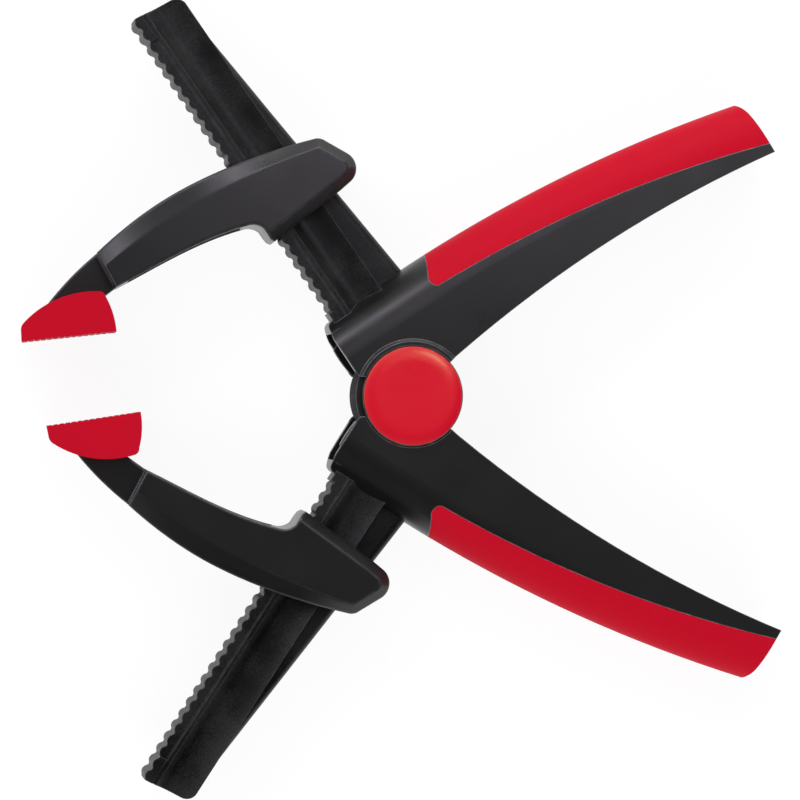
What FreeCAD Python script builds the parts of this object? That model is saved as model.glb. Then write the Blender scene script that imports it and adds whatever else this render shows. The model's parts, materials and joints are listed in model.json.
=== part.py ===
"""Spring clamp with two sliding jaws, in millimetres.

Two equal plastic handles turn on one pivot and a torsion spring holds them open. Each handle carries a
toothed rail, a jaw that slides along the rail, and a swivelling pad at the jaw's tongue. The lower half is
the upper half turned over about the X axis, so each piece is made once, for the upper half.

The clamp lies on its side: the pivot axis is Z, X runs between the handles towards their tips, and the
origin is on the pivot axis at the rear cap's outer face. Pieces are built about their mid-plane, with the
pivot at the origin, and lifted at the end. The rail frame has X square to the rail, away from the pads,
and Y along the rail, away from the pivot.
"""
import FreeCAD, Part
import math
import os

# Body
body_depth = 25.0
cap_rise = 1.5
running_gap = 0.3
face_gap = 0.1
seat_gap = 0.05

# Handles
arch_crown = 0.5
cheek_wall = 3.3
web_wall = 3.2
tip_wall = 3.0
handle_rib = 1.6
handle_rib_count = 3
handle_rib_pitch = 16.0
handle_rib_start = -3.2
handle_rib_recess = 3.0
socket_wall = 2.3
socket_floor = 1.9
window_top = 26.7
grip_skin = 1.6

# Hub
hub_radius = 16.0
ear_radius = 13.9
ear_wall = 2.4
ear_gap = 0.2
ear_arm = 24.0
ring_width = 1.85
ring_rise = 0.7
collar_inset = 0.4
collar_wall = 2.4
collar_gap = 0.15
collar_middle = 180.0
collar_reach = 72.0
dog_height = 3.0
dog_span = 25.0
dog_backlash = 0.2

# Pivot
pivot_radius = 4.0
pivot_bore = 2.5
pivot_fit = 0.06
washer_radius = 8.0
washer_thick = 0.6
washer_gap = 0.2
cap_radius = 13.6
cap_edge = 0.5
cap_flat_radius = 9.6
cap_stem = 9.0

# Torsion spring
wire = 2.6
coil_radius = 9.0
coil_clearance = 0.6
whole_turns = 3
leg_angle = 44.0
leg_length = 47.0
spring_seat = 8.0
gap_samples = 8

# Rails
rail_angle = 33.8
rail_length = 128.6
rail_root = 18.4
rail_mouth = 30.6
rail_depth = 14.0
tooth_line = 5.55
tooth_height = 0.8
tooth_pitch = 3.76
tooth_crest_share = 0.6
tooth_draft = 0.9
last_tooth = 3.0
tooth_groove = 1.9
groove_size = 0.35
panel_edge = 10.1
dish_start = -0.6
dish_depth = 2.0
dish_bend = 4.0
dish_rim = 0.7
fin_depth = 5.0
fin_edge = 18.2
fin_taper = 5.2
fin_end = 11.1
rail_corner = 3.0
end_slope = 1.1
stop_length = 7.9
stop_rise = 0.9
stop_corner = 1.3
stop_peg = 1.4
stop_peg_length = 5.4
stop_peg_pitch = 3.7

# Jaws
upper_slide = 57.3
lower_slide = 43.5
jaw_wall = 2.8
jaw_bevel = 2.8
jaw_rib = 1.5
jaw_rib_count = 3
jaw_rib_pitch = 10.0
jaw_rib_recess = 3.0
slide_gap = 0.25
fin_gap = 0.5
tooth_gap = 0.4
block_length = 5.5
bite_start = 8.0
tongue_depth = 12.0
tongue_tip = 3.8
tongue_top_angle = 80.0
tongue_low_angle = 269.0

# Pads
pad_depth = 22.0
pad_plate = 1.6
pad_nose = 2.2
pad_sill = 8.0
pad_swing_gap = 1.4
pad_pin = 1.5
pad_pin_cover = 1.0
pad_groove = 0.22
pad_groove_width = 0.7
pad_groove_pitch = 1.7
upper_pad_turn = 5.4
lower_pad_turn = -7.8

# Sizes that follow
half_body = body_depth / 2
half_total = half_body + cap_rise
handle_arch = half_body - arch_crown
half_rail = rail_depth / 2
ear_outer = half_body - ear_wall
ear_inner = ear_outer - ear_gap
ear_inside = ear_inner - ear_wall
hub_clear = hub_radius + running_gap
ear_clear = ear_radius + running_gap
tooth_crest = tooth_line + tooth_height / 2
socket_right = fin_edge + socket_wall
jaw_front = -tooth_crest - tooth_gap
jaw_inside = half_body - jaw_wall
coil_sweep = 360 * whole_turns + 2 * (90 - leg_angle)
coil_quarters = 4 * whole_turns + 1
coil_rise = 2 * (ear_inside - coil_clearance) - wire
cut_margin = 3.0
far = 2 * rail_length

X_AXIS = FreeCAD.Vector(1, 0, 0)
Y_AXIS = FreeCAD.Vector(0, 1, 0)
Z_AXIS = FreeCAD.Vector(0, 0, 1)
ORIGIN = FreeCAD.Vector(0, 0, 0)


def at(x, y, z=0.0):
    return FreeCAD.Vector(x, y, z)


def polar(radius, degrees, z=0.0):
    angle = math.radians(degrees)
    return at(radius * math.cos(angle), radius * math.sin(angle), z)


def on_rail(x, y):
    """A point of the rail frame, in the clamp's frame."""
    return polar(x, rail_angle) + polar(y, rail_angle + 90)


def line(start, end):
    return Part.LineSegment(start, end).toShape()


def chain(points):
    return [line(a, b) for a, b in zip(points, points[1:])]


def arc(start, middle, end):
    return Part.Arc(start, middle, end).toShape()


def curve(points):
    spline = Part.BSplineCurve()
    spline.interpolate(points)
    return spline.toShape()


def bend(start, direction, end):
    """The arc from start to end that leaves start along the direction, a unit vector."""
    chord = end - start
    half = chord.Length / 2
    unit = chord * (0.5 / half)
    lift = direction - unit * direction.dot(unit)
    angle = math.acos(max(-1.0, min(1.0, direction.dot(unit))))
    middle = (start + end) * 0.5 + lift.normalize() * (half * math.tan(angle / 2))
    return arc(start, middle, end)


def prism(edges, low, high):
    """The area inside a closed row of edges, from z low to z high."""
    face = Part.Face(Part.Wire(edges))
    face.translate(at(0, 0, low))
    return face.extrude(at(0, 0, high - low))


def plate(points, low, high):
    return prism(chain(points + points[:1]), low, high)


def block(left, right, low, high, half):
    """A box between two x and two y, and as deep on both sides of the mid-plane."""
    return Part.makeBox(right - left, high - low, 2 * half, at(left, low, -half))


def disc(radius, low, high, centre=ORIGIN):
    return Part.makeCylinder(radius, high - low, at(centre.x, centre.y, low), Z_AXIS)


def ring(inner, outer, low, high):
    return disc(outer, low, high).cut(disc(inner, low - cut_margin, high + cut_margin))


def sector(start, end, low, high):
    """A wedge about the pivot between two angles in degrees, wide enough for the hub."""
    reach = 2 * hub_radius
    first, middle, last = polar(reach, start), polar(reach, (start + end) / 2), polar(reach, end)
    return prism([line(ORIGIN, first), arc(first, middle, last), line(last, ORIGIN)], low, high)


def to_clamp(shape):
    """Turns a piece from the rail frame into the clamp's frame."""
    turned = shape.copy()
    turned.rotate(ORIGIN, Z_AXIS, rail_angle)
    return turned


def turned_over(shape):
    """The lower half's copy of an upper piece."""
    copy = shape.copy()
    copy.rotate(ORIGIN, X_AXIS, 180)
    return copy


# Handle: the back runs straight and then in one arc, and its section is an arch

back_start, back_bend, back_end = at(-24.5, 20.5), at(-2, 35.0), at(108, 85.2)
above_back = at(30, 66)
tip_bend = at(90.1, 82.1), at(94.5, 79.3), at(96.0, 77.3)
inner_edge = at(12, 10.6), at(55.1, 42.0), at(102.4, 66.7)
hub_corner = at(4, 3)
grip_top = at(4.2, 60)
grip_front = at(5.0, 33.2), at(5.7, 31.1), at(7.6, 30.5)
grip_edge = at(7.6, 30.5), at(52, 52.8), at(107, 70.6)

# The socket's front wall, in the rail frame

front_wall = on_rail(-9.1, 12.8), on_rail(-9.6, 19.0), on_rail(-8.3, 28.0)
front_corner = front_wall[-1], on_rail(-7.6, 29.1), on_rail(-6.2, 29.4)


def arch(inset):
    """The handle's arched section swept along its back, its surface drawn in by inset."""
    along = (back_bend - back_start).normalize()
    inward = along.cross(Z_AXIS)
    half = half_body - inset
    radius = handle_arch - inset
    shoulder = half - radius
    foot = radius + rail_length / 2

    def spot(across, down):
        return back_start + inward * (inset + down) + Z_AXIS * across

    edges = [
        line(spot(-half, foot), spot(-half, radius)),
        bend(spot(-half, radius), inward * -1, spot(-shoulder, 0)),
        line(spot(-shoulder, 0), spot(shoulder, 0)),
        bend(spot(shoulder, 0), Z_AXIS, spot(half, radius)),
        line(spot(half, radius), spot(half, foot)),
        line(spot(half, foot), spot(-half, foot)),
    ]
    path = Part.Wire([line(back_start, back_bend), bend(back_bend, along, back_end)])
    return path.makePipeShell([Part.Wire(edges)], True, False)


def handle_side(low, high):
    """The handle's side outline, open past the back, where the arch bounds it."""
    top = front_corner[-1] + on_rail(cut_margin, cut_margin)
    inner_start, inner_middle, tip_low = inner_edge
    edges = [line(hub_corner, front_wall[0]), arc(*front_wall), arc(*front_corner)]
    edges += chain([front_corner[-1], top, above_back, tip_bend[0]])
    edges.append(arc(*tip_bend))
    edges.append(line(tip_bend[-1], tip_low))
    edges.append(arc(tip_low, inner_middle, inner_start))
    edges.append(line(inner_start, hub_corner))
    return prism(edges, low, high)


def handle_blank():
    return arch(0).common(handle_side(-half_body, half_body))


def tip_line(inset):
    """The handle's end face as a long line, moved in by inset."""
    high, low = tip_bend[-1], inner_edge[-1]
    along = (low - high).normalize()
    inward = along.cross(Z_AXIS) * inset
    return high + inward - along * far, low + inward + along * far


def behind_tip(inset):
    """All that lies on the pivot's side of the handle's end face."""
    top, bottom = tip_line(inset)
    corners = [top, bottom, at(bottom.x, -far), at(-far, -far), at(-far, top.y)]
    return plate(corners, -half_body, half_body)


def grip_area():
    """The part of the handle's side view that the grip covers."""
    end = grip_edge[-1]
    edges = [line(grip_top, grip_front[0]), arc(*grip_front), arc(*grip_edge)]
    edges += chain([end, at(end.x, far), grip_top])
    return prism(edges, -half_total, half_total)


def make_grip():
    core = arch(grip_skin).common(behind_tip(grip_skin))
    return handle_blank().common(grip_area()).cut(core)


def cavity():
    """The channel between the cheeks, which the rail's socket closes near the pivot."""
    top, bottom = tip_line(tip_wall)
    floor = rail_root - socket_floor
    socket = [on_rail(-far, floor), on_rail(socket_right, floor), on_rail(socket_right, far)]
    outline = socket + [top, bottom, at(bottom.x, -far), at(-far, -far)]
    half = half_body - cheek_wall
    return arch(grip_skin + web_wall).common(plate(outline, -half, half))


def under_inner_edge(recess):
    """All that lies at least the recess inside the handle's open edge."""
    start, middle, end = (point + on_rail(0, recess) for point in inner_edge)
    edges = [arc(start, middle, end)] + chain([end, at(end.x, far), at(start.x, far), start])
    return prism(edges, -half_body, half_body)


def cross_ribs(space):
    """Ribs across the channel, square to the handle, inside the space given."""
    ribs = []
    start, middle, end = inner_edge
    along = (end - start).normalize()
    for index in range(handle_rib_count):
        slab = block(-handle_rib / 2, handle_rib / 2, -far, far, half_body)
        slab.rotate(ORIGIN, Z_AXIS, math.degrees(math.atan2(along.y, along.x)))
        slab.translate(middle + along * (handle_rib_start + handle_rib_pitch * index))
        ribs.append(slab.common(space).common(under_inner_edge(handle_rib_recess)))
    return ribs


def leg_seat(space):
    """The block in the channel that the spring's leg presses on."""
    seat = block(leg_length - spring_seat, leg_length, wire / 2 + seat_gap, far, half_body)
    seat.rotate(ORIGIN, Z_AXIS, leg_angle)
    seat.translate(polar(coil_radius, leg_angle + 90))
    return seat.common(space)


def collar():
    """The wall round the coil that stands on the inner ear, with the dog that stops the opening."""
    outer = hub_radius - collar_inset
    inner = outer - collar_wall
    low = -ear_inner
    facing = collar_middle - dog_backlash

    def wall(start, end, bottom, top):
        return ring(inner, outer, bottom, top).common(sector(start, end, bottom, top))

    tall = wall(collar_middle - collar_reach, facing, low, -collar_gap)
    dog = wall(facing - dog_span, facing, -2 * collar_gap, dog_height)
    short = wall(facing, collar_middle + collar_reach, low, -dog_height - ear_gap)
    return tall.fuse([dog, short])


def cap_ring():
    """The raised ring on the outer cheek round the cap."""
    inner = cap_radius + running_gap
    outer = inner + ring_width
    cone = Part.makeCone(outer, outer - ring_rise, ring_rise, at(0, 0, half_body), Z_AXIS)
    return cone.cut(disc(inner, 0, half_total)).common(handle_side(half_body, half_total))


def inner_ear():
    arm = disc(ear_arm, -ear_inner, -ear_inside).common(handle_side(-ear_inner, -ear_inside))
    return disc(ear_radius, -ear_inner, -ear_inside).fuse(arm)


def socket_window():
    """The window between the cheeks in the socket's front wall, through which the rail's root shows."""
    return to_clamp(block(-far, -tooth_crest, 0, window_top, half_body - cheek_wall))


def make_handle():
    space = cavity()
    body = handle_blank().cut(make_grip()).cut(space)
    hub_space = disc(hub_clear, -ear_outer, ear_outer).fuse(disc(ear_clear, -half_total, 0))
    body = body.cut([hub_space, socket_window()])
    outer_ear = disc(ear_radius, ear_outer, half_body)
    body = body.fuse([outer_ear, inner_ear(), collar(), cap_ring(), leg_seat(space)] + cross_ribs(space))
    body = body.cut(to_clamp(rail_bar(seat_gap, rail_root - seat_gap, rail_mouth + 3 * cut_margin)))
    body = body.cut(disc(pivot_radius + pivot_fit, -half_total, half_total))
    washer_seat = half_body - washer_thick - face_gap
    return body.cut(disc(washer_radius + washer_gap, washer_seat, half_total)).removeSplitter()


# Rail, in the rail frame


def rail_section(clearance):
    """The section of the rail's body, grown by the clearance, in the plane y = 0."""
    half = half_rail + clearance
    floor = half - dish_depth
    left, right = -tooth_crest - clearance, panel_edge + clearance

    def side(sign):
        corner, dish_high = at(left, 0, sign * half), at(dish_start, 0, sign * half)
        dish_low = at(dish_start + dish_bend, 0, sign * floor)
        rim = at(right, 0, sign * (half - dish_rim))
        dish = [bend(dish_low, X_AXIS * -1, dish_high), bend(dish_low, X_AXIS, rim)]
        return dish + [line(at(left, 0, 0), corner), line(corner, dish_high), line(rim, at(right, 0, 0))]

    return Part.Face(Part.Wire(Part.__sortEdges__(side(1) + side(-1))))


def fin_section(clearance):
    """The section of the rail's fin, with a round back."""
    half, back = fin_depth / 2 + clearance, fin_edge + clearance
    foot, crown = dish_start + dish_bend, back - half
    low, high = at(crown, 0, -half), at(crown, 0, half)
    edges = chain([high, at(foot, 0, half), at(foot, 0, -half), low])
    return Part.Face(Part.Wire(edges + [arc(low, at(back, 0, 0), high)]))


def along_rail(face, start, end, lean=0.0):
    """A section drawn out along the rail, and by the lean towards the teeth."""
    face.translate(at(0, start))
    return face.extrude(at(-lean, end - start))


def rail_bar(clearance, start, end):
    body = along_rail(rail_section(clearance), start, end)
    return body.fuse(along_rail(fin_section(clearance), start, end))


def tooth_wave():
    """Edges along the rail's front, one rounded crest and one rounded valley to each pitch."""
    edges = []
    middle, swing = -tooth_line, tooth_height / 2
    top = rail_length - last_tooth
    rows = int((top - rail_mouth) / tooth_pitch)
    for row in range(rows + 1):
        foot = top + (row - rows) * tooth_pitch
        turn = foot + tooth_pitch * tooth_crest_share
        after = foot + tooth_pitch
        edges.append(arc(at(middle, foot), at(middle - swing, (foot + turn) / 2), at(middle, turn)))
        edges.append(arc(at(middle, turn), at(middle + swing, (turn + after) / 2), at(middle, after)))
    return edges


def beside_teeth():
    """What lies in front of the teeth, whose walls lean back from the mid-plane to both sides."""
    wave = tooth_wave()
    first, last = wave[0].Vertexes[0].Point, wave[-1].Vertexes[-1].Point
    out = -tooth_crest - 2 * cut_margin
    face = Part.Face(Part.Wire(wave + chain([last, at(out, last.y), at(out, first.y), first])))
    height = half_rail + 2 * stop_rise
    lean = tooth_draft * height / half_rail
    return [face.extrude(at(lean, 0, sign * height)) for sign in (-1, 1)]


def end_cut():
    """What lies outside the rail's free end, which slopes towards its round back corner."""
    left, right, above = -tooth_crest - cut_margin, panel_edge, rail_length + cut_margin
    front_low = at(-tooth_crest, rail_length - stop_corner)
    front_high = front_low + at(stop_corner, stop_corner)
    before = at(right - rail_corner, rail_length - end_slope)
    after = before + at(rail_corner, -rail_corner)
    edges = chain([at(left, above), at(left, front_low.y), front_low])
    edges += [bend(front_low, Y_AXIS, front_high), line(front_high, before)]
    edges.append(bend(before, (before - front_high).normalize(), after))
    edges += chain([after, at(right + cut_margin, after.y), at(right + cut_margin, above), at(left, above)])
    return prism(edges, -half_body, half_body)


def stop_block(clearance, half):
    """The stop's body at the free end of the toothed edge."""
    low = rail_length - stop_length + clearance
    return block(-tooth_crest - cut_margin, -tooth_groove - clearance, low, rail_length + cut_margin, half)


def stop_pegs(radius):
    """The pegs that hold the stop to the rail."""
    middle = rail_length - stop_length / 2
    root = -(tooth_crest + tooth_groove) / 2
    feet = [at(root, middle + sign * stop_peg_pitch / 2) for sign in (-1, 1)]
    return [Part.makeCylinder(radius, stop_peg_length, foot, X_AXIS) for foot in feet]


def make_rail():
    fin_length = rail_length - fin_end - rail_mouth
    fin_lean = fin_length * math.tan(math.radians(fin_taper))
    tapered_fin = along_rail(fin_section(0), rail_mouth, rail_mouth + fin_length, fin_lean)
    rail = along_rail(rail_section(0), rail_root, rail_length)
    rail = rail.fuse([along_rail(fin_section(0), rail_root, rail_mouth), tapered_fin])
    rail = rail.cut(beside_teeth() + [end_cut()])
    edge = -tooth_groove
    for sign in (-1, 1):
        groove = block(edge - groove_size, edge, rail_root, rail_length, groove_size / 2)
        groove.translate(at(0, 0, sign * half_rail))
        rail = rail.cut(groove)
    rail = rail.cut([stop_block(0, half_body)] + stop_pegs(stop_peg + seat_gap))
    return to_clamp(rail.removeSplitter())


def make_stop():
    stop = stop_block(seat_gap, half_rail + stop_rise).cut(beside_teeth() + [end_cut()])
    return to_clamp(stop.fuse(stop_pegs(stop_peg)).removeSplitter())


# Jaw, in the rail frame, with its inner end at y = 0

arm_high, arm_low = at(-49.2, 24.2), at(-50.2, 13.4)
arm_back = [arm_high, at(-38.7, 25.5), at(-26.3, 25.8), at(-6.5, 23.3), at(8.7, 19.5), at(17.7, 16.5)]
nose_top = arm_back[-1], at(19.3, 15.6), at(20.2, 14.2)
nose_low = at(23.3, 7.9), at(23.5, 4.3), at(19.9, 1.1)
jaw_foot = at(15.8, 0.6)
throat_foot = [at(-7.2, -0.8), at(-7.8, 0.3)]
throat = at(-7.8, 3.9), at(-8.9, 5.8), at(-11.2, 7.1)
arm_belly = [throat[-1], at(-18.5, 9.2), at(-31.2, 11.4), arm_low]
tongue_pin = at(-69.25, 16.4)
tongue_back = at(-59.5, 22.6)


def bevelled_edges():
    """The edges of the jaw's side outline that carry the bevel, from the arm's end round the nose."""
    return [curve(arm_back), arc(*nose_top), line(nose_top[-1], nose_low[0]), arc(*nose_low)]


def plain_edges():
    edges = chain([nose_low[-1], jaw_foot] + throat_foot + [throat[0]])
    return edges + [arc(*throat), curve(arm_belly), line(arm_low, arm_high)]


def middle_of(edge):
    return edge.valueAt((edge.FirstParameter + edge.LastParameter) / 2)


def jaw_blank():
    """The jaw before it is hollowed, with a bevel along its outer edges."""
    outer = bevelled_edges()
    blank = prism(outer + plain_edges(), -half_body, half_body)
    marks = [middle_of(edge) + Z_AXIS * (sign * half_body) for edge in outer for sign in (-1, 1)]
    chosen = [
        edge for edge in blank.Edges
        if any((middle_of(edge) - mark).Length < seat_gap for mark in marks)
    ]
    return blank.makeChamfer(jaw_bevel, chosen)


def jaw_hollow():
    """The channel of the arm, open towards the work."""
    right = jaw_front - block_length
    left = arm_high.x + jaw_wall
    top = [point - Y_AXIS * jaw_wall for point in arm_back[:-2]]
    edges = [curve(top)] + chain([top[-1], at(top[-1].x, -far), at(top[0].x, -far), top[0]])
    return prism(edges, -jaw_inside, jaw_inside).common(block(left, right, -far, far, half_body))


def jaw_ribs(space):
    """Ribs across the arm's channel, set back from its open edge."""
    belly = [point + Y_AXIS * jaw_rib_recess for point in arm_belly]
    right, left = belly[0].x + block_length, belly[-1].x
    edge = chain([at(left, far), at(right, far), at(right, belly[0].y), belly[0]])
    keep = prism(edge + [curve(belly), line(belly[-1], at(left, far))], -half_body, half_body)
    ribs = []
    for index in range(jaw_rib_count):
        foot = arm_high.x + jaw_wall + jaw_rib_pitch * (index + 1)
        ribs.append(block(foot - jaw_rib, foot, -far, far, half_body).common(space).common(keep))
    return ribs


def rail_passage():
    """The passage for the rail, wide where its panel runs and narrow for its fin."""
    split = panel_edge + fin_gap
    panel = block(jaw_front, split, -far, far, half_rail + slide_gap)
    return panel.fuse(block(panel_edge, fin_edge + fin_gap, -far, far, fin_depth / 2 + fin_gap))


def counter_valleys():
    """The valleys between the teeth on the jaw's block, which bite the rail when the jaw tilts."""
    width = tooth_pitch * tooth_crest_share
    radius = (width * width / 4 + tooth_height * tooth_height) / (2 * tooth_height)
    centre = jaw_front - tooth_height + radius
    start, end = bite_start + tooth_pitch / 2, arm_back[-2].y
    rows = int((end - bite_start) / tooth_pitch)
    half = half_rail + slide_gap
    return [disc(radius, -half, half, at(centre, start + tooth_pitch * row)) for row in range(rows)]


def tongue():
    """The thin end of the jaw that carries the pad."""
    angles = tongue_top_angle, (tongue_top_angle + tongue_low_angle) / 2, tongue_low_angle
    high, tip, low = (tongue_pin + polar(tongue_tip, angle) for angle in angles)
    root = arm_high.x + jaw_wall / 2
    top, bottom = arm_high - Y_AXIS * seat_gap, arm_low + Y_AXIS * seat_gap
    edges = [curve([top, tongue_back, high]), arc(high, tip, low)]
    edges += chain([low, bottom, at(root, bottom.y + jaw_wall), at(root, top.y - jaw_bevel), top])
    return prism(edges, -tongue_depth / 2, tongue_depth / 2)


def make_jaw(slide):
    space = jaw_hollow()
    jaw = jaw_blank().cut(space).fuse(jaw_ribs(space) + [tongue()])
    jaw = jaw.cut(rail_passage()).cut(counter_valleys())
    jaw = jaw.cut(disc(pad_pin + seat_gap, -half_body, half_body, tongue_pin)).removeSplitter()
    jaw.translate(at(0, slide))
    return to_clamp(jaw)


# Pad, with its gripping face on y = 0

pad_pivot = at(-3.6, 5.6)
pad_left, pad_right = at(-12.65, 0), at(13.35, 0)
pad_end = pad_right, at(12.95, 4.9), at(11.5, 9.7)
pad_end_bend = pad_end[-1], at(10.95, 10.9), at(9.9, 11.4)
pad_back = pad_end_bend[-1], at(-1, 10.7), at(-11.5, 5.0)
pad_tip_bend = pad_back[-1], at(-12.25, 4.0), at(-12.5, 2.6)


def pad_blank():
    edges = [line(pad_left, pad_right), arc(*pad_end), arc(*pad_end_bend), arc(*pad_back)]
    edges += [arc(*pad_tip_bend), line(pad_tip_bend[-1], pad_left)]
    return prism(edges, -pad_depth / 2, pad_depth / 2)


def pad_slot():
    """Room between the pad's cheeks for the tongue to swing."""
    left = pad_pivot.x - tongue_tip - pad_swing_gap
    right = pad_right.x - pad_nose
    corners = [at(left, far), at(left, pad_plate), at(right, pad_plate), at(right, pad_sill)]
    half = tongue_depth / 2 + slide_gap
    return plate(corners + [at(far, pad_sill), at(far, far)], -half, half)


def face_grooves():
    grooves = []
    half = pad_groove_width / 2
    for row in range(1, int((pad_right.x - pad_left.x) / pad_groove_pitch)):
        middle = pad_left.x + pad_groove_pitch * row
        left, right = middle - half, middle + half
        below = -pad_groove
        corners = [at(left, below), at(right, below), at(right, 0), at(middle, pad_groove), at(left, 0)]
        grooves.append(plate(corners, -half_body, half_body))
    return grooves


def make_pad(slide, turn):
    half_pin = pad_depth / 2 - pad_pin_cover + seat_gap
    pad = pad_blank().cut([pad_slot()] + face_grooves())
    pad = pad.cut(disc(pad_pin + pivot_fit, -half_pin, half_pin, pad_pivot))
    pad.translate(pad_pivot * -1)
    pad.rotate(ORIGIN, Z_AXIS, turn)
    pad.translate(on_rail(tongue_pin.x, tongue_pin.y + slide))
    return pad


def make_pad_pin(slide):
    half = pad_depth / 2 - pad_pin_cover
    return disc(pad_pin, -half, half, on_rail(tongue_pin.x, tongue_pin.y + slide))


# Pivot


def make_tube():
    half = half_body - face_gap
    return ring(pivot_bore, pivot_radius, -half, half)


def make_bush():
    """The sleeve round the tube that centres the coil and keeps the ears apart."""
    half = ear_inside - face_gap
    return ring(pivot_radius + pivot_fit, coil_radius - wire / 2 - coil_clearance, -half, half)


def make_washer():
    top = half_body - seat_gap
    return ring(pivot_radius + pivot_fit, washer_radius, top - washer_thick, top)


def make_cap():
    """A shallow dome with a stem that plugs the pivot tube, on the front side."""
    under = half_body + face_gap
    stem = pivot_bore - seat_gap
    rim_low, rim_high = at(cap_radius, 0, under), at(cap_radius, 0, under + cap_edge)
    flat, centre, foot = at(cap_flat_radius, 0, half_total), at(0, 0, half_total), at(0, 0, under - cap_stem)
    section = chain([foot, at(stem, 0, foot.z), at(stem, 0, under), rim_low, rim_high])
    section.append(bend(flat, X_AXIS, rim_high))
    section += chain([flat, centre, foot])
    return Part.Face(Part.Wire(section)).revolve(ORIGIN, Z_AXIS, 360)


# Spring


def biarc(start, direction, end, arrival):
    """Two arcs that join two points and keep both directions."""
    chord = end - start
    both = direction + arrival
    square = 2 * (1 - direction.dot(arrival))
    reach = (-chord.dot(both) + math.sqrt(chord.dot(both) ** 2 + square * chord.dot(chord))) / square
    joint = (start + direction * reach + end - arrival * reach) * 0.5
    leaving = (end - arrival * reach - joint).normalize()
    return [bend(start, direction, joint), bend(joint, leaving, end)]


def coil_stations():
    """Points and directions each quarter turn, flat at both ends, from the lower leg to the upper."""
    step = coil_sweep / coil_quarters
    rise = coil_rise / (coil_quarters - 1)
    slope = rise / (math.radians(step) * coil_radius)
    height = -coil_rise / 2
    stations = []
    for index in range(coil_quarters + 1):
        degrees = -(90 + leg_angle) - step * index
        tilt = 0 if index in (0, coil_quarters) else slope
        direction = (polar(1, degrees - 90) + Z_AXIS * tilt).normalize()
        stations.append((polar(coil_radius, degrees, height), direction))
        height += rise / 2 if index in (0, coil_quarters - 1) else rise
    return stations


def spring_path():
    stations = coil_stations()
    first, leaving = stations[0]
    last, arriving = stations[-1]
    edges = [line(first - leaving * leg_length, first)]
    for (start, direction), (end, arrival) in zip(stations, stations[1:]):
        edges += biarc(start, direction, end, arrival)
    edges.append(line(last, last + arriving * leg_length))
    return edges


def least_gap(edges):
    """The least distance between neighbouring turns of the spring's wire, surface to surface."""
    points = []
    for edge in edges[1:-1]:
        points += edge.discretize(gap_samples + 1)[:-1]
    half_turn = int(len(points) * 180 / coil_sweep)
    pairs = ((i, j) for i in range(len(points)) for j in range(i + half_turn, len(points)))
    return min((points[i] - points[j]).Length for i, j in pairs) - wire


def make_spring():
    edges = spring_path()
    start = edges[0].Vertexes[0].Point
    along = edges[0].tangentAt(edges[0].FirstParameter)
    section = Part.Wire(Part.Circle(start, along, wire / 2).toShape())
    print("spring: least gap between turns %.2f mm" % least_gap(edges))
    return Part.Wire(edges).makePipeShell([section], True, False)


def both_halves(name, shape):
    return {"upper_" + name: shape, "lower_" + name: turned_over(shape)}


def front_and_rear(name, shape):
    return {"front_" + name: shape, "rear_" + name: turned_over(shape)}


def build():
    nodes = {}
    nodes.update(both_halves("handle", make_handle()))
    nodes.update(both_halves("grip", make_grip()))
    nodes.update(both_halves("rail", make_rail()))
    nodes.update(both_halves("rail_stop", make_stop()))
    nodes["upper_jaw"] = make_jaw(upper_slide)
    nodes["lower_jaw"] = turned_over(make_jaw(lower_slide))
    nodes["upper_pad"] = make_pad(upper_slide, upper_pad_turn)
    nodes["lower_pad"] = turned_over(make_pad(lower_slide, lower_pad_turn))
    nodes["upper_pad_pin"] = make_pad_pin(upper_slide)
    nodes["lower_pad_pin"] = turned_over(make_pad_pin(lower_slide))
    nodes["pivot_tube"] = make_tube()
    nodes["spring_bush"] = make_bush()
    nodes["torsion_spring"] = make_spring()
    nodes.update(front_and_rear("washer", make_washer()))
    nodes.update(front_and_rear("cap", make_cap()))
    return nodes


os.makedirs("parts", exist_ok=True)
for node, solid in build().items():
    solid.translate(at(0, 0, half_total))
    solid.exportStep("parts/" + node + ".step")
    print("%-16s valid %s solids %d volume %.0f" % (node, solid.isValid(), len(solid.Solids), solid.Volume))
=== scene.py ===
"""Looks of the spring clamp: materials, the spring's wire, floor, lights and camera, in metres."""
import json
import math

import bpy
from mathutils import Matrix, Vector


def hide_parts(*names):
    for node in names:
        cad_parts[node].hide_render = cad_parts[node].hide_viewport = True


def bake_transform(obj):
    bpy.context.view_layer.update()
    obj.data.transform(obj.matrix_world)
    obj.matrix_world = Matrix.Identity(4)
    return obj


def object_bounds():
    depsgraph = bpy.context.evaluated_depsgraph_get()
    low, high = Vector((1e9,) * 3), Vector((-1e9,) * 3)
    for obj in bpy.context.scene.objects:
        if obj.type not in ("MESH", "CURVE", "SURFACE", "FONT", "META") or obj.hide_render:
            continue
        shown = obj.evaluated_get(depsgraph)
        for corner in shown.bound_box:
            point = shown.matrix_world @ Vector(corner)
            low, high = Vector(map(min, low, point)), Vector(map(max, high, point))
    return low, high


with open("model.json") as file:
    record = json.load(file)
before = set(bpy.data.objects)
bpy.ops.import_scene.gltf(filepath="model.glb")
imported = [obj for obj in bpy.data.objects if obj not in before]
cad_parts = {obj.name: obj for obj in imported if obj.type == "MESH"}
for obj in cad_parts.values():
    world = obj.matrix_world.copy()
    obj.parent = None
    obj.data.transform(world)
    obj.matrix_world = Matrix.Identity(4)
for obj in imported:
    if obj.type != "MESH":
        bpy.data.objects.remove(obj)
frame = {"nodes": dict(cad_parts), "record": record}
cad_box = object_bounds()
nodes = frame["nodes"]

MM = 0.001
MIDDLE = (cad_box[0].z + cad_box[1].z) / 2
ORIGIN = (0, 0, 0)
UP = Vector((0, 0, 1))

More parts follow.
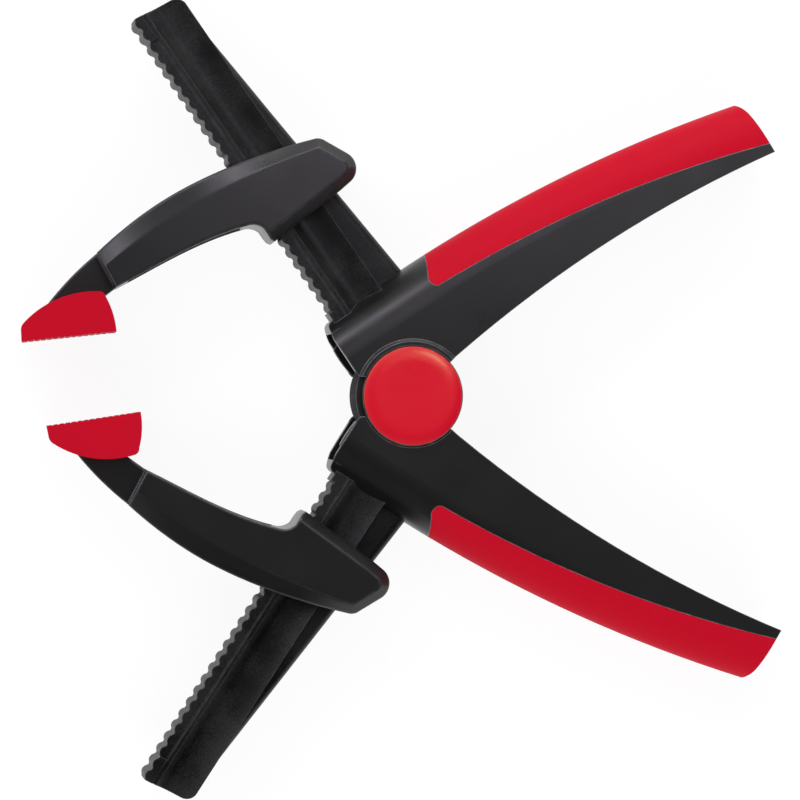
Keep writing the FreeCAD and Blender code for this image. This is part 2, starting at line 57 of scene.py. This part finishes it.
# Colours of the pieces and of their edges, linear; edges are paled partly by wear, partly by a
# painted highlight
WHITE = (1.0, 1.0, 1.0)
BLACK = (0.0064, 0.0060, 0.0060)
BLACK_WEAR_AND_HIGHLIGHT = (0.23, 0.225, 0.245)
RAIL_BLACK = (0.0068, 0.0064, 0.0064)
RAIL_WEAR_AND_HIGHLIGHT = (0.085, 0.082, 0.090)
ANTHRACITE = (0.0064, 0.0059, 0.0063)
ANTHRACITE_WEAR_AND_HIGHLIGHT = (0.06, 0.056, 0.065)
RED = (0.570, 0.0050, 0.0210)
GRIP_WEAR_AND_HIGHLIGHT = (0.66, 0.012, 0.03)
PAD_WEAR_AND_HIGHLIGHT = (0.62, 0.008, 0.025)
CAP_RED = (0.550, 0.0025, 0.0195)
# The cap's edge colour paints an orange highlight along its rim
CAP_RIM_HIGHLIGHT = (0.78, 0.13, 0.07)
ZINC = (0.55, 0.55, 0.56)
SPRING_STEEL = (0.30, 0.30, 0.31)

# Tints of the cap's gloss and of two lamps, linear
CAP_SHINE = (1.0, 1.0, 0.58)
LAVENDER = (0.93, 0.87, 1.0)

# Moulded plastic
EDGE_COSINE = 0.92  # between the true and the softened normal, where an edge is at its palest
BROAD_SIZE = 14 * MM  # of the slow changes in gloss, shade and level
BROAD_SPAN = (0.1, 0.9)  # of the noise, for the whole change in gloss
BROAD_DEPTH = 0.25 * MM
GLOSS_CHANGE = 0.10  # of roughness, to both sides
GRAIN_STRENGTH = 0.6
SPECKLE_SIZE = 2.2  # times the grain's size
WEAR_AND_HIGHLIGHT_SIZE = 3 * MM  # of the stretches where an edge is more or less pale, from wear and a painted highlight
WEAR_AND_HIGHLIGHT_SPAN = (0.35, 0.7)
WEAR_AND_HIGHLIGHT_SHARE = (0.4, 1.0)
HUB_REACH = (16.8 * MM, 17.6 * MM)  # from the pivot's axis
HUB_SLOPE = (0.3, 0.6)  # height of the normal, from upright walls to faces

# Metal
METAL_EDGE = 0.15 * MM
STREAK_SIZE = 0.6 * MM
STREAK_DEPTH = 0.02 * MM
STREAK_STRENGTH = 0.5
STREAK_GLOSS = (-0.08, 0.1)  # change of roughness
PATCH_SIZE = 5 * MM
PATCH_SHARE = (0.0, 0.35)  # of the darker colour
PATCH_SHADE = 0.6
NOISE_SPAN = (0.3, 0.7)

# Colour sockets of a Mix node
MIX_FIRST, MIX_SECOND, MIX_RESULT = 6, 7, 2

# Torsion spring
WIRE = 2.6 * MM
COIL_RADIUS = 9.0 * MM
WHOLE_TURNS = 3
LEG_ANGLE = 44.0  # degrees between each leg and +X
LEG_LENGTH = 47.0 * MM
COIL_RISE = 11.2 * MM
LEVEL_ANGLE = 90.0  # degrees over which the coil's climb starts, and over which it ends
CHAMFER = 0.2  # of the wire's radius
WIRE_SIDES = 20
COIL_STEPS = 240
LEG_STEPS = 6

# Floor
FLOOR_HALF = 8.0
FLOOR_GLOW = 0.92
FLOOR_SHADING = (0.11, 0.11, 0.11)
PAPER = (0.75, 0.75, 0.75)

# Sky: spans of a direction's height, side and x, and the light or its share at both their ends
SKY_SIDE = (-0.8, 0.6, 0.0)  # along which the side is measured
RING_TOP = (0.90, 0.70)
RING_FOOT = (0.20, 0.55)
RING_FOOT_SHARE = (0.3, 1.0)
RING_SIDE = (-0.3, 0.5)
RING_LIGHT = (0.03, 0.8)
TOP_HEIGHT = (0.80, 0.95)
TOP_LIGHT = (0.015, 0.16)
TOP_X = (0.10, 0.20)
TOP_GAIN = (1.0, 2.2)
HORIZON_HEIGHT = (0.12, 0.20)
HORIZON_LIGHT = (0.97, 0.0)

# Camera, fitted to the photograph
CAMERA_PLACE = Vector((-98.92, -0.45, 941.05)) * MM
CAMERA_TURN = (0.0007, -0.1023, -0.0134)
LENS = 152.47
CLIP_START = 0.05


# Node building


def opaque(colour):
    """The colour with its alpha, unless a node gives it."""
    return colour if isinstance(colour, bpy.types.NodeSocket) else (*colour, 1.0)


class Tree:
    """The nodes of a material or of the world, with one short call for each kind of node."""

    def __init__(self, owner, output):
        self.owner = owner
        owner.use_nodes = True
        self.tree = owner.node_tree
        self.tree.nodes.clear()
        self.output = self.tree.nodes.new("ShaderNode" + output)

    def node(self, kind, inputs=(), **settings):
        made = self.tree.nodes.new("ShaderNode" + kind)
        for key, value in settings.items():
            setattr(made, key, value)
        for key, value in dict(inputs).items():
            if isinstance(value, bpy.types.NodeSocket):
                self.tree.links.new(value, made.inputs[key])
            else:
                made.inputs[key].default_value = value
        return made

    def end(self, socket):
        self.tree.links.new(socket, self.output.inputs[0])

    def number(self, operation, *values):
        return self.node("Math", dict(enumerate(values)), operation=operation).outputs[0]

    def vector(self, operation, inputs, output="Vector"):
        return self.node("VectorMath", inputs, operation=operation).outputs[output]

    def spread(self, value, span, result=(0.0, 1.0), shape="LINEAR"):
        """The value carried from its span to the result's, and held at both ends."""
        inputs = {
            "Value": value, "From Min": span[0], "From Max": span[1],
            "To Min": result[0], "To Max": result[1],
        }
        return self.node("MapRange", inputs, interpolation_type=shape).outputs[0]

    def mix(self, share, first, second):
        inputs = {"Factor": share, MIX_FIRST: opaque(first), MIX_SECOND: opaque(second)}
        return self.node("Mix", inputs, data_type="RGBA").outputs[MIX_RESULT]

    def place(self):
        return self.node("TexCoord").outputs["Object"]

    def facing(self):
        return self.node("NewGeometry").outputs["Normal"]

    def noise(self, size, detail=2.0, roughness=0.5, finer=(1, 1, 1)):
        """Noise whose features are about the size given, and so many times finer along x, y, z."""
        place = self.node("Mapping", {"Vector": self.place(), "Scale": finer}).outputs[0]
        inputs = {"Vector": place, "Scale": 1 / size, "Detail": detail, "Roughness": roughness}
        return self.node("TexNoise", inputs).outputs[0]

    def softened(self, radius, samples=6):
        """The normal, rounded off at edges."""
        return self.node("Bevel", {"Radius": radius}, samples=samples).outputs[0]

    def edge(self, soft):
        """1 at an edge, falling to 0 where the softened normal is the true one."""
        alike = self.vector("DOT_PRODUCT", {0: soft, 1: self.facing()}, "Value")
        return self.spread(alike, (1.0, EDGE_COSINE))

    def hub_wall(self):
        """1 on the walls that stand round the pivot, 0 elsewhere."""
        flat = self.vector("MULTIPLY", {0: self.place(), 1: (1, 1, 0)})
        near = self.spread(self.vector("LENGTH", {0: flat}, "Value"), HUB_REACH, (1.0, 0.0))
        slope = self.number("ABSOLUTE", self.node("SeparateXYZ", {0: self.facing()}).outputs["Z"])
        return self.number("MULTIPLY", near, self.spread(slope, HUB_SLOPE, (1.0, 0.0)))

    def bump(self, height, distance, strength, normal):
        inputs = {"Height": height, "Distance": distance, "Strength": strength, "Normal": normal}
        return self.node("Bump", inputs).outputs[0]

    def principled(self, inputs):
        self.end(self.node("BsdfPrincipled", inputs).outputs[0])
        return self.owner


def moulded(
    name, colour, wear_and_highlight, roughness, mottle, gloss, contrast=0.3, grain=0.35, depth=0.02, sag=0.12,
    rounding=0.30, samples=6, shine=WHITE, dull_hub=False,
):
    """Moulded plastic with a fine grain, an uneven gloss, and edges paled by wear and a painted
    highlight.

    grain, depth and rounding are in millimetres: the grain's size and depth, and the radius that
    edges seem to have. mottle is how far the shade of the speckle goes, contrast how soon it gets
    there, and sag the strength of the broad unevenness. dull_hub takes the gloss off the hub's
    walls.
    """
    shader = Tree(bpy.data.materials.new(name), "OutputMaterial")
    soft = shader.softened(rounding * MM, samples)
    broad = shader.noise(BROAD_SIZE, detail=3.0)
    fine = shader.noise(grain * MM, roughness=0.6)
    speckle = shader.noise(SPECKLE_SIZE * grain * MM, roughness=0.7)
    shade = shader.spread(
        shader.number("ADD", broad, speckle), (1 - contrast, 1 + contrast), (1 - mottle, 1 + mottle)
    )
    base = shader.vector("SCALE", {0: colour, "Scale": shade})
    # Edges are paled towards the edge colour: partly wear, partly a painted highlight
    wear_and_highlight_share = shader.spread(shader.noise(WEAR_AND_HIGHLIGHT_SIZE, detail=3.0), WEAR_AND_HIGHLIGHT_SPAN, WEAR_AND_HIGHLIGHT_SHARE)
    tint = shader.mix(shader.number("MULTIPLY", shader.edge(soft), wear_and_highlight_share), base, wear_and_highlight)
    span = (roughness - GLOSS_CHANGE, roughness + GLOSS_CHANGE)
    rough = shader.spread(broad, BROAD_SPAN, span)
    if dull_hub:
        rough = shader.number("MAXIMUM", rough, shader.hub_wall())
    sunk = shader.bump(broad, BROAD_DEPTH, sag, soft)
    return shader.principled({
        "Base Color": tint,
        "Roughness": rough,
        "Normal": shader.bump(fine, depth * MM, GRAIN_STRENGTH, sunk),
        "Specular IOR Level": gloss,
        "Specular Tint": opaque(shine),
    })


def metal(name, colour, roughness, finer):
    """Metal with darker patches, and streaks left by drawing or turning."""
    shader = Tree(bpy.data.materials.new(name), "OutputMaterial")
    streak = shader.noise(STREAK_SIZE, detail=3.0, roughness=0.6, finer=finer)
    patch = shader.spread(shader.noise(PATCH_SIZE, detail=3.0), NOISE_SPAN, PATCH_SHARE)
    span = tuple(roughness + change for change in STREAK_GLOSS)
    soft = shader.softened(METAL_EDGE)
    return shader.principled({
        "Base Color": shader.mix(patch, colour, [PATCH_SHADE * part for part in colour]),
        "Metallic": 1.0,
        "Roughness": shader.spread(streak, NOISE_SPAN, span),
        "Normal": shader.bump(streak, STREAK_DEPTH, STREAK_STRENGTH, soft),
    })


# Each plastic's second colour pales its edges: partly wear, partly a painted highlight
materials = {
    "handle": moulded(
        "handle_plastic", BLACK, BLACK_WEAR_AND_HIGHLIGHT, roughness=0.32, mottle=0.10, gloss=0.52,
        rounding=0.45, dull_hub=True,
    ),
    "grip": moulded("grip_rubber", RED, GRIP_WEAR_AND_HIGHLIGHT, roughness=0.55, mottle=0.02, gloss=0.06),
    "rail": moulded(
        "rail_plastic", RAIL_BLACK, RAIL_WEAR_AND_HIGHLIGHT, roughness=0.42, mottle=0.95, gloss=0.36,
        contrast=0.10, grain=0.22, depth=0.07, rounding=0.40,
    ),
    "jaw": moulded(
        "jaw_plastic", ANTHRACITE, ANTHRACITE_WEAR_AND_HIGHLIGHT, roughness=0.32, mottle=0.08, gloss=0.56,
        rounding=1.3, samples=16,
    ),
    "pad": moulded(
        "pad_rubber", RED, PAD_WEAR_AND_HIGHLIGHT, roughness=0.55, mottle=0.02, gloss=0.05,
        grain=0.4, depth=0.03,
    ),
    "cap": moulded(
        "cap_plastic", CAP_RED, CAP_RIM_HIGHLIGHT, roughness=0.30, mottle=0.004, gloss=0.38,
        depth=0.01, sag=0.02, rounding=0.5, shine=CAP_SHINE,
    ),
    "steel": metal("zinc_steel", ZINC, roughness=0.32, finer=(1, 1, 6)),
    "spring_steel": metal("spring_wire", SPRING_STEEL, roughness=0.34, finer=(1, 1, 4)),
}


def dress(obj, slot):
    obj.data.materials.clear()
    obj.data.materials.append(materials[slot])


def add(name, data):
    obj = bpy.data.objects.new(name, data)
    bpy.context.scene.collection.objects.link(obj)
    return obj


for part in frame["record"]["subparts"]:
    dress(nodes[part["node"]], part["material_slot"])


# Torsion spring: one wire with a leg at both ends, in one fixed shape; the real spring winds up as
# the handles close


def polar(radius, degrees, z=0.0):
    angle = math.radians(degrees)
    return Vector((radius * math.cos(angle), radius * math.sin(angle), z))


def climb(share, level):
    """Height from 0 to 1 at a share of the coil, level at both ends for the share given."""
    if share < level:
        return share * share / (2 * level * (1 - level))
    if share > 1 - level:
        return 1 - climb(1 - share, level)
    return (share - level / 2) / (1 - level)


def wire_path():
    """Points on the wire's middle, from the end of the lower leg to the end of the upper one."""
    sweep = 360 * WHOLE_TURNS + 2 * (90 - LEG_ANGLE)
    first = -(90 + LEG_ANGLE)
    coil = []
    for step in range(COIL_STEPS + 1):
        share = step / COIL_STEPS
        height = COIL_RISE * (climb(share, LEVEL_ANGLE / sweep) - 0.5)
        coil.append(polar(COIL_RADIUS, first - sweep * share, MIDDLE + height))
    into, out = polar(1, first - 90), polar(1, LEG_ANGLE)
    reaches = [LEG_LENGTH * step / LEG_STEPS for step in range(LEG_STEPS, 0, -1)]
    lower_leg = [coil[0] - into * reach for reach in reaches]
    upper_leg = [coil[-1] + out * reach for reach in reversed(reaches)]
    return lower_leg + coil + upper_leg


def tube(name, path, radius, sides):
    """A round wire along the path, with a small chamfer at both ends."""
    last = len(path) - 1
    narrow = 1 - CHAMFER
    rings = [(0, narrow)] + [(index, 1.0) for index in range(len(path))] + [(last, narrow)]
    verts, faces = [], []
    for number, (index, share) in enumerate(rings):
        along = (path[min(index + 1, last)] - path[max(index - 1, 0)]).normalized()
        across = along.cross(UP).normalized()
        up = across.cross(along)
        centre = path[index]
        if number == 1:
            centre = centre + along * (CHAMFER * radius)
        if number == len(rings) - 2:
            centre = centre - along * (CHAMFER * radius)
        for side in range(sides):
            angle = 2 * math.pi * side / sides
            out = across * math.cos(angle) + up * math.sin(angle)
            verts.append(centre + out * radius * share)
    for row in range(0, len(verts) - sides, sides):
        for side in range(sides):
            here, there = row + side, row + (side + 1) % sides
            faces.append((here, there, there + sides, here + sides))
    faces.append(tuple(reversed(range(sides))))
    faces.append(tuple(range(len(verts) - sides, len(verts))))
    mesh = bpy.data.meshes.new(name)
    mesh.from_pydata(verts, [], faces)
    mesh.validate()
    mesh.shade_smooth()
    return add(name, mesh)


spring = tube("torsion_spring_wire", wire_path(), WIRE / 2, WIRE_SIDES)
dress(spring, "spring_steel")
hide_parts("torsion_spring")
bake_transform(spring)


# Floor, world and light


def make_floor():
    """White paper: a glow with faint shadows to the eye and to gloss, plain to all other rays."""
    mesh = bpy.data.meshes.new("floor")
    corners = [(x * FLOOR_HALF, y * FLOOR_HALF, 0) for x, y in ((-1, -1), (1, -1), (1, 1), (-1, 1))]
    mesh.from_pydata(corners, [], [(0, 1, 2, 3)])
    floor = add("floor", mesh)
    shader = Tree(bpy.data.materials.new("floor_paper"), "OutputMaterial")
    glow = shader.node("Emission", {"Color": opaque(WHITE), "Strength": FLOOR_GLOW}).outputs[0]
    shading = shader.node("BsdfDiffuse", {"Color": opaque(FLOOR_SHADING)}).outputs[0]
    seen = shader.node("AddShader", {0: glow, 1: shading}).outputs[0]
    paper = shader.node("BsdfDiffuse", {"Color": opaque(PAPER)}).outputs[0]
    rays = shader.node("LightPath").outputs
    looks = shader.number("MAXIMUM", rays["Is Camera Ray"], rays["Is Glossy Ray"])
    looks = shader.number("MAXIMUM", looks, rays["Is Transmission Ray"])
    shader.end(shader.node("MixShader", {0: looks, 1: paper, 2: seen}).outputs[0])
    mesh.materials.append(shader.owner)


def make_world():
    """A soft ring half way up on the key's side, a dim top and a white band at the horizon."""
    sky = Tree(bpy.data.worlds.new("studio"), "OutputWorld")
    toward = sky.node("TexCoord").outputs["Generated"]
    parts = sky.node("SeparateXYZ", {0: toward}).outputs
    side = sky.vector("DOT_PRODUCT", {0: toward, 1: SKY_SIDE}, "Value")

    def ramp(value, span, light=(0.0, 1.0)):
        return sky.spread(value, span, light, "SMOOTHSTEP")

    height = parts["Z"]
    ring = sky.number("MULTIPLY", ramp(height, RING_TOP), ramp(height, RING_FOOT, RING_FOOT_SHARE))
    ring = sky.number("MULTIPLY", ring, ramp(side, RING_SIDE, RING_LIGHT))
    gain = ramp(parts["X"], TOP_X, TOP_GAIN)
    top = sky.number("MULTIPLY", ramp(height, TOP_HEIGHT, TOP_LIGHT), gain)
    level = sky.number("ADD", ring, top)
    level = sky.number("MAXIMUM", level, ramp(height, HORIZON_HEIGHT, HORIZON_LIGHT))
    sky.end(sky.node("Background", {"Color": opaque(WHITE), "Strength": level}).outputs[0])
    bpy.context.scene.world = sky.owner


def lamp(name, place, size, radiance, target=ORIGIN, colour=WHITE, mirrored=True):
    """A rectangular light of the radiance given, in watts per square metre and steradian."""
    data = bpy.data.lights.new(name, "AREA")
    data.shape = "RECTANGLE"
    data.size, data.size_y = size
    data.color = colour
    data.energy = radiance * math.pi * size[0] * size[1]
    obj = add(name, data)
    obj.location = place
    obj.rotation_mode = "QUATERNION"
    obj.rotation_quaternion = (Vector(target) - Vector(place)).to_track_quat("-Z", "Y")
    obj.visible_camera = False
    obj.visible_glossy = mirrored
    return obj


make_floor()
make_world()
lamp("key", place=(-0.75, 1.07, 1.09), size=(2.0, 0.23), radiance=6.3, colour=LAVENDER)
lamp(
    "overhead", place=(0.065, 0.143, 0.32), size=(0.25, 0.174), radiance=1.35,
    target=(0.065, 0.143, 0), colour=LAVENDER,
)
lamp("rim", place=(0.25, 1.13, 0.42), size=(1.0, 0.2), radiance=8.0)
lamp("fill", place=(0.0, -1.3, 1.0), size=(1.6, 1.0), radiance=3.2, mirrored=False)
spark = lamp("spark", place=(0.45, 0.55, 0.95), size=(0.34, 0.14), radiance=24.0)

# The spark lights the caps alone
caps = bpy.data.collections.new("caps")
for cap in ("front_cap", "rear_cap"):
    caps.objects.link(nodes[cap])
spark.light_linking.receiver_collection = caps

camera = add("camera", bpy.data.cameras.new("camera"))
camera.data.lens = LENS
camera.data.clip_start = CLIP_START
camera.location = CAMERA_PLACE + MIDDLE * UP
camera.rotation_euler = CAMERA_TURN
bpy.context.scene.camera = camera
bpy.context.scene.view_settings.view_transform = "Standard"
